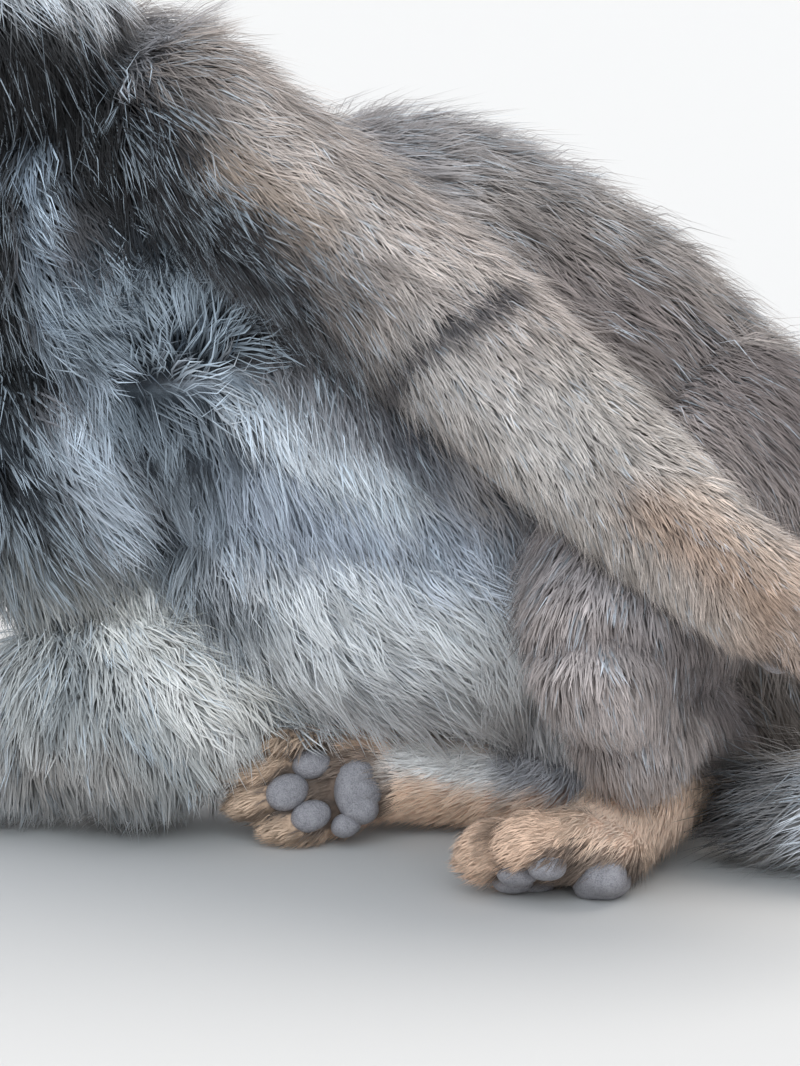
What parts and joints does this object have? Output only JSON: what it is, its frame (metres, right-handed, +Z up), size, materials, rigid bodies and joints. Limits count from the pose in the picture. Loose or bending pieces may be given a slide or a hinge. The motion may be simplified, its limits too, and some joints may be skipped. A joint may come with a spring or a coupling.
{
  "type": "domestic cat",
  "caption": "Life-size still model of a long-coated tabby cat lying on its side, chest propped on one elbow, tail curled forward.",
  "frame": {"origin": "middle of the outline in plan, on the floor the cat lies on", "axes": "+Z up; +X from the head end towards the rump and tail; +Y from the belly towards the back"},
  "size_m": [0.4548, 0.2202, 0.3599],
  "materials": {
    "coat": "soft matt fur, grey-brown tabby above and bluish white below",
    "eyes": "wet gloss",
    "nose_leather": "fine-grained, slightly damp"
  },
  "bodies": {
    "root": {"trunk": "coat", "neck": "coat", "head": "coat", "thigh_left": "coat", "shank_left": "coat", "hind_foot_left": "coat", "thigh_right": "coat", "shank_right": "coat", "hind_foot_right": "coat", "upper_arm_right": "coat", "forearm_right": "coat", "forepaw_right": "coat", "upper_arm_left": "coat", "forearm_left": "coat", "forepaw_left": "coat", "tail_base": "coat", "tail_middle": "coat", "tail_end": "coat", "ear_left": "coat", "ear_right": "coat", "eye_left": "eyes", "eye_right": "eyes", "nose": "nose_leather"}
  },
  "joints": []
}
